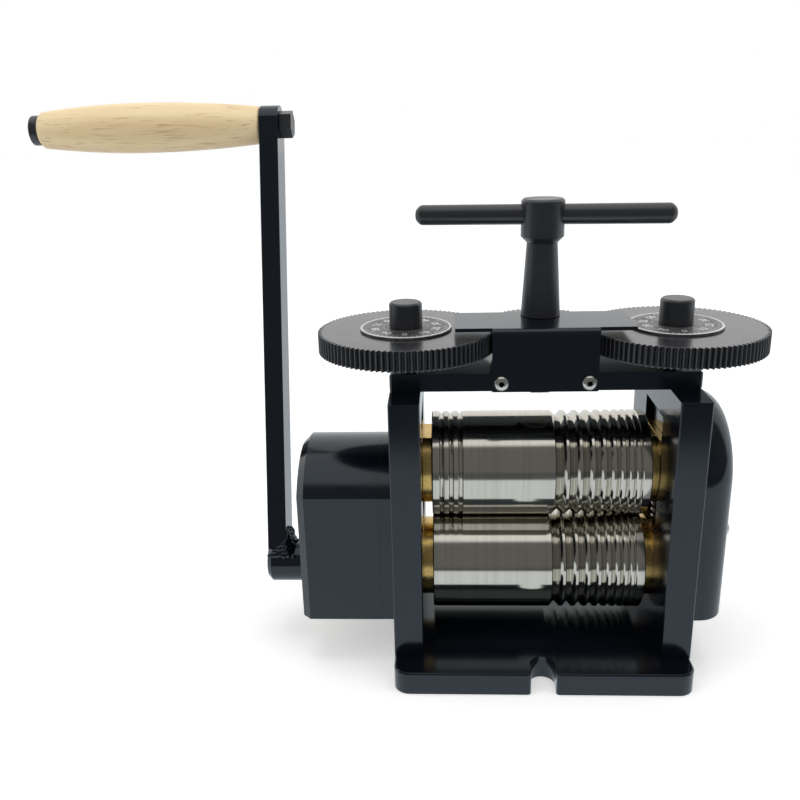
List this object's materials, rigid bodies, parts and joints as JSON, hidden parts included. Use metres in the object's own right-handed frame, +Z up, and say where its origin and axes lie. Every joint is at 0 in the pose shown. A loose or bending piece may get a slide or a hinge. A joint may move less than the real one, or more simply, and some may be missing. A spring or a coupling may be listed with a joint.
{
  "type": "jewellers rolling mill",
  "caption": "Hand cranked bench rolling mill for sheet and wire, with geared dials that set the roll gap, a reduction gear case and a wooden crank grip.",
  "frame": {"origin": "middle of the base plate's underside", "axes": "+X along the rolls towards the roll gear cover, +Y to the back, +Z up"},
  "size_m": [0.3845, 0.1363, 0.2861],
  "materials": {
    "frame_enamel": "semi gloss black enamel",
    "cover_enamel": "smooth black enamel",
    "blackened_steel": "black oxide steel",
    "dial_black": "black oxide gear steel",
    "dial_silver": "satin ring with black ground",
    "roll_steel": "ground and polished",
    "machined_steel": "machined",
    "bearing_brass": "turned",
    "bright_screws": "stainless button heads",
    "grip_wood": "pale turned hardwood, clear varnish"
  },
  "bodies": {
    "frame": {"base_plate": "frame_enamel", "cheek_left": "frame_enamel", "cheek_right": "frame_enamel", "top_bridge": "frame_enamel", "base_screws": "blackened_steel", "bridge_screws": "blackened_steel", "lower_bush_left": "bearing_brass", "lower_bush_right": "bearing_brass", "return_spring_left": "machined_steel", "return_spring_right": "machined_steel", "spindle_bush": "bearing_brass", "gear_cover": "cover_enamel", "gear_cover_screws": "bright_screws", "gear_case_plate": "cover_enamel", "gear_case": "cover_enamel", "gear_case_screws": "blackened_steel", "case_plate_screws": "blackened_steel", "lay_shaft": "machined_steel", "lay_clip": "machined_steel", "roll_gear_cover": "cover_enamel", "cover_pillars": "cover_enamel", "roll_cover_screws": "bright_screws", "crank_bush": "bearing_brass"},
    "upper_carriage": {"upper_bush_left": "bearing_brass", "upper_bush_right": "bearing_brass", "saddle_left": "frame_enamel", "saddle_right": "frame_enamel"},
    "upper_roll_body": {"upper_roll": "roll_steel", "roll_gear_upper": "machined_steel", "roll_clip_upper": "machined_steel", "upper_key": "machined_steel"},
    "lower_roll_body": {"lower_roll": "roll_steel", "reduction_gear": "machined_steel", "roll_clip_left": "machined_steel", "roll_gear_lower": "machined_steel", "roll_clip_lower": "machined_steel", "lower_keys": "machined_steel"},
    "lay_gear_body": {"lay_gear": "machined_steel"},
    "left_screw": {"adjusting_screw_left": "machined_steel", "dial_wheel_left": "dial_black", "dial_plate_left": "dial_silver", "dial_cap_left": "blackened_steel"},
    "right_screw": {"adjusting_screw_right": "machined_steel", "dial_wheel_right": "dial_black", "dial_plate_right": "dial_silver", "dial_cap_right": "blackened_steel"},
    "tee_handle": {"handle_column": "blackened_steel", "handle_bar": "blackened_steel", "centre_pinion": "dial_black", "spindle_nut": "blackened_steel"},
    "crank": {"crank_arm": "frame_enamel", "crank_shaft": "machined_steel", "grub_screw": "blackened_steel", "grip_bolt": "blackened_steel", "grip_nut": "blackened_steel"},
    "grip": {"wooden_grip": "grip_wood"}
  },
  "joints": [
    {"name": "tee_turn", "type": "hinge", "parent": "frame", "child": "tee_handle", "pos_m": [0, 0, 0.17], "axis": [0, 0, -1], "range_deg": [0, 1333.3]},
    {"name": "roll_lift", "type": "slide", "parent": "frame", "child": "upper_carriage", "axis": [0, 0, 1], "range_m": [0, 0.004], "deforming": ["return_spring_left", "return_spring_right"]},
    {"name": "left_dial_turn", "type": "hinge", "parent": "upper_carriage", "child": "left_screw", "pos_m": [-0.0675, 0, 0.17], "axis": [0, 0, 1], "range_deg": [0, 720]},
    {"name": "right_dial_turn", "type": "hinge", "parent": "upper_carriage", "child": "right_screw", "pos_m": [0.0675, 0, 0.17], "axis": [0, 0, 1], "range_deg": [0, 720]},
    {"name": "crank_turn", "type": "hinge", "parent": "frame", "child": "crank", "pos_m": [-0.12, 0, 0.0415], "axis": [1, 0, 0], "continuous": true},
    {"name": "grip_turn", "type": "hinge", "parent": "crank", "child": "grip", "pos_m": [-0.207, 0.06115, 0.27296], "axis": [1, 0, 0], "continuous": true},
    {"name": "lay_gear_turn", "type": "hinge", "parent": "frame", "child": "lay_gear_body", "pos_m": [-0.095, 0, 0.07825], "axis": [1, 0, 0], "continuous": true},
    {"name": "lower_roll_turn", "type": "hinge", "parent": "frame", "child": "lower_roll_body", "pos_m": [0, 0, 0.045], "axis": [1, 0, 0], "continuous": true},
    {"name": "upper_roll_turn", "type": "hinge", "parent": "upper_carriage", "child": "upper_roll_body", "pos_m": [0, 0, 0.1003], "axis": [1, 0, 0], "continuous": true}
  ],
  "couplings": [
    {"joint": "left_dial_turn", "follows": "tee_turn", "ratio": 0.54},
    {"joint": "right_dial_turn", "follows": "tee_turn", "ratio": 0.54},
    {"joint": "roll_lift", "follows": "tee_turn", "m_per_rad": 0.00017189},
    {"joint": "lay_gear_turn", "follows": "crank_turn", "ratio": -0.44828},
    {"joint": "lower_roll_turn", "follows": "crank_turn", "ratio": 0.2331},
    {"joint": "upper_roll_turn", "follows": "crank_turn", "ratio": -0.2331}
  ]
}
